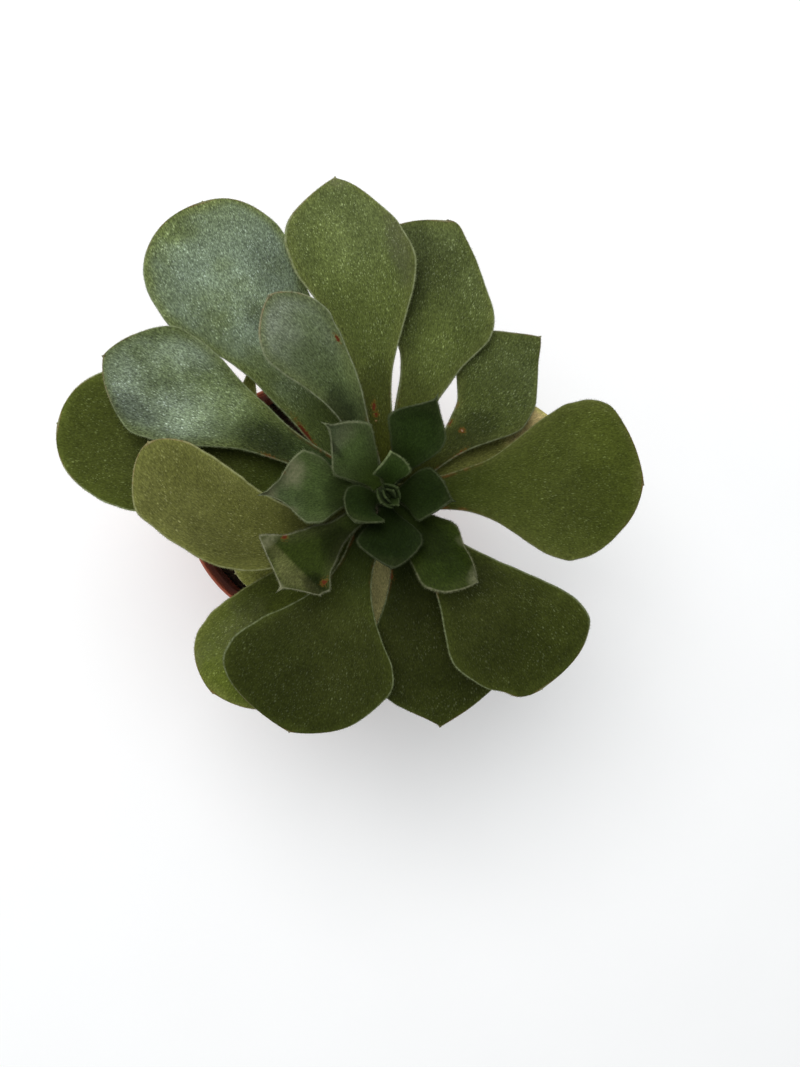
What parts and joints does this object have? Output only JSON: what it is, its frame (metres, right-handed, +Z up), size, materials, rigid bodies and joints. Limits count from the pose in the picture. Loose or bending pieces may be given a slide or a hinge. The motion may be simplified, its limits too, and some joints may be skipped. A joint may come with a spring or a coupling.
{
  "type": "potted aeonium",
  "caption": "Potted aeonium: a rosette of fleshy, spoon-shaped green leaves round a bud, on one short stem in a brick-red plastic nursery pot.",
  "frame": {"origin": "middle of the pot's underside, on the ground", "axes": "+Z up along the pot's axis, which the underside faces away from; the stem leans towards +X, so the rosette stands 23 mm off the pot's axis on that side"},
  "size_m": [0.209, 0.1961, 0.1924],
  "materials": {
    "pot": "satin",
    "soil": "matte",
    "stem": "matte",
    "leaf_green": "matte",
    "leaf_grey_green": "matte",
    "leaf_dark_green": "matte",
    "leaf_olive": "matte"
  },
  "bodies": {
    "root": {"pot": "pot", "soil": "soil", "stem": "stem", "bud": "leaf_dark_green", "leaf_outer_01": "leaf_green", "leaf_outer_02": "leaf_green", "leaf_outer_03": "leaf_green", "leaf_outer_04": "leaf_green", "leaf_outer_05": "leaf_grey_green", "leaf_outer_06": "leaf_grey_green", "leaf_outer_07": "leaf_dark_green", "leaf_outer_08": "leaf_olive", "leaf_outer_09": "leaf_green", "leaf_outer_10": "leaf_dark_green", "leaf_outer_11": "leaf_dark_green", "leaf_outer_12": "leaf_dark_green", "leaf_under_01": "leaf_olive", "leaf_under_02": "leaf_olive", "leaf_under_03": "leaf_olive", "leaf_under_04": "leaf_olive", "leaf_middle": "leaf_grey_green", "leaf_heart_01": "leaf_dark_green", "leaf_heart_02": "leaf_dark_green", "leaf_heart_03": "leaf_grey_green", "leaf_heart_04": "leaf_grey_green", "leaf_heart_05": "leaf_olive", "leaf_heart_06": "leaf_dark_green", "leaf_heart_07": "leaf_dark_green", "leaf_heart_08": "leaf_dark_green", "leaf_heart_09": "leaf_dark_green"}
  },
  "joints": []
}
